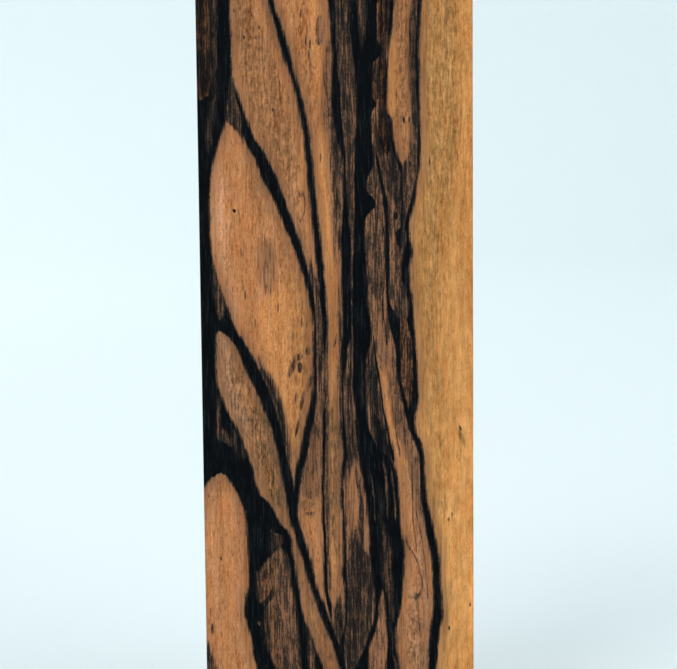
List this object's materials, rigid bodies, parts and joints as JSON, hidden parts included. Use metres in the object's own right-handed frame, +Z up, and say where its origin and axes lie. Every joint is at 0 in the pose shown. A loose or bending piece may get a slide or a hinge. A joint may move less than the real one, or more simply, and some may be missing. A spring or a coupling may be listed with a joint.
{
  "type": "pale moon ebony blank",
  "caption": "Rectangular block of figured ebony with black ink lines in pale wood, sawn to length and sanded, for turning or for handles.",
  "frame": {"origin": "middle of the lower sawn end, on the surface that the blank stands on", "axes": "+Z up along the grain, -Y out of the figured show face, +X to the right across that face"},
  "size_m": [0.038, 0.025, 0.127],
  "materials": {
    "pale_moon_ebony": "fine sanded and unoiled, satin, honey to orange brown with black ink lines"
  },
  "bodies": {
    "root": {"ebony_blank": "pale_moon_ebony"}
  },
  "joints": []
}
